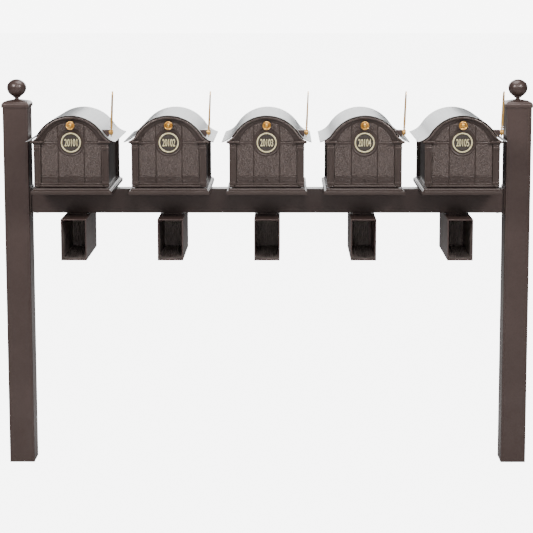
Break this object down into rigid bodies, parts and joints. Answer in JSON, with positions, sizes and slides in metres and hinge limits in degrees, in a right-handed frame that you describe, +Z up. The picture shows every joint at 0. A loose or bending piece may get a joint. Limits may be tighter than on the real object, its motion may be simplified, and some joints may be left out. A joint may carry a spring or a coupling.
{
  "type": "cluster mailbox unit",
  "caption": "Row of bronze mailboxes with arched roofs and gold flags, newspaper boxes below, on a beam between two capped posts.",
  "frame": {"origin": "on the ground plane, under the middle of the unit's bounding box", "axes": "+X along the beam to the viewer's right, +Y from the doors to the backs, +Z up"},
  "size_m": [2.537, 0.5224, 1.8753],
  "materials": {
    "bronze_paint": "satin",
    "roof_satin": "satin",
    "gold_finish": "satin",
    "plaque_finish": "satin",
    "rod_steel": "satin"
  },
  "bodies": {
    "stand": {"left_post": "bronze_paint", "left_post_cap": "bronze_paint", "left_finial": "bronze_paint", "left_beam_bracket": "bronze_paint", "right_post": "bronze_paint", "right_post_cap": "bronze_paint", "right_finial": "bronze_paint", "right_beam_bracket": "bronze_paint", "beam": "bronze_paint", "mailbox_1_body": "bronze_paint", "mailbox_1_roof": "roof_satin", "mailbox_1_rear_panel": "bronze_paint", "mailbox_1_hinge_rod": "rod_steel", "mailbox_1_flag_lug": "bronze_paint", "newspaper_box_1": "bronze_paint", "mailbox_2_body": "bronze_paint", "mailbox_2_roof": "roof_satin", "mailbox_2_rear_panel": "bronze_paint", "mailbox_2_hinge_rod": "rod_steel", "mailbox_2_flag_lug": "bronze_paint", "newspaper_box_2": "bronze_paint", "mailbox_3_body": "bronze_paint", "mailbox_3_roof": "roof_satin", "mailbox_3_rear_panel": "bronze_paint", "mailbox_3_hinge_rod": "rod_steel", "mailbox_3_flag_lug": "bronze_paint", "newspaper_box_3": "bronze_paint", "mailbox_4_body": "bronze_paint", "mailbox_4_roof": "roof_satin", "mailbox_4_rear_panel": "bronze_paint", "mailbox_4_hinge_rod": "rod_steel", "mailbox_4_flag_lug": "bronze_paint", "newspaper_box_4": "bronze_paint", "mailbox_5_body": "bronze_paint", "mailbox_5_roof": "roof_satin", "mailbox_5_rear_panel": "bronze_paint", "mailbox_5_hinge_rod": "rod_steel", "mailbox_5_flag_lug": "bronze_paint", "newspaper_box_5": "bronze_paint"},
    "door_1": {"mailbox_1_door": "bronze_paint", "mailbox_1_number_plaque": "plaque_finish", "mailbox_1_knob": "gold_finish"},
    "flag_1": {"mailbox_1_flag": "gold_finish"},
    "door_2": {"mailbox_2_door": "bronze_paint", "mailbox_2_number_plaque": "plaque_finish", "mailbox_2_knob": "gold_finish"},
    "flag_2": {"mailbox_2_flag": "gold_finish"},
    "door_3": {"mailbox_3_door": "bronze_paint", "mailbox_3_number_plaque": "plaque_finish", "mailbox_3_knob": "gold_finish"},
    "flag_3": {"mailbox_3_flag": "gold_finish"},
    "door_4": {"mailbox_4_door": "bronze_paint", "mailbox_4_number_plaque": "plaque_finish", "mailbox_4_knob": "gold_finish"},
    "flag_4": {"mailbox_4_flag": "gold_finish"},
    "door_5": {"mailbox_5_door": "bronze_paint", "mailbox_5_number_plaque": "plaque_finish", "mailbox_5_knob": "gold_finish"},
    "flag_5": {"mailbox_5_flag": "gold_finish"}
  },
  "joints": [
    {"name": "door_1_hinge", "type": "hinge", "parent": "stand", "child": "door_1", "pos_m": [-0.9144, -0.2268, 1.3893], "axis": [1, 0, 0], "range_deg": [0, 90]},
    {"name": "flag_1_pivot", "type": "hinge", "parent": "stand", "child": "flag_1", "pos_m": [-0.7286, -0.19785, 1.6403], "axis": [-1, 0, 0], "range_deg": [0, 90]},
    {"name": "door_2_hinge", "type": "hinge", "parent": "stand", "child": "door_2", "pos_m": [-0.4572, -0.2268, 1.3893], "axis": [1, 0, 0], "range_deg": [0, 90]},
    {"name": "flag_2_pivot", "type": "hinge", "parent": "stand", "child": "flag_2", "pos_m": [-0.2714, -0.19785, 1.6403], "axis": [-1, 0, 0], "range_deg": [0, 90]},
    {"name": "door_3_hinge", "type": "hinge", "parent": "stand", "child": "door_3", "pos_m": [0, -0.2268, 1.3893], "axis": [1, 0, 0], "range_deg": [0, 90]},
    {"name": "flag_3_pivot", "type": "hinge", "parent": "stand", "child": "flag_3", "pos_m": [0.1858, -0.19785, 1.6403], "axis": [-1, 0, 0], "range_deg": [0, 90]},
    {"name": "door_4_hinge", "type": "hinge", "parent": "stand", "child": "door_4", "pos_m": [0.4572, -0.2268, 1.3893], "axis": [1, 0, 0], "range_deg": [0, 90]},
    {"name": "flag_4_pivot", "type": "hinge", "parent": "stand", "child": "flag_4", "pos_m": [0.643, -0.19785, 1.6403], "axis": [-1, 0, 0], "range_deg": [0, 90]},
    {"name": "door_5_hinge", "type": "hinge", "parent": "stand", "child": "door_5", "pos_m": [0.9144, -0.2268, 1.3893], "axis": [1, 0, 0], "range_deg": [0, 90]},
    {"name": "flag_5_pivot", "type": "hinge", "parent": "stand", "child": "flag_5", "pos_m": [1.1002, -0.19785, 1.6403], "axis": [-1, 0, 0], "range_deg": [0, 90]}
  ]
}
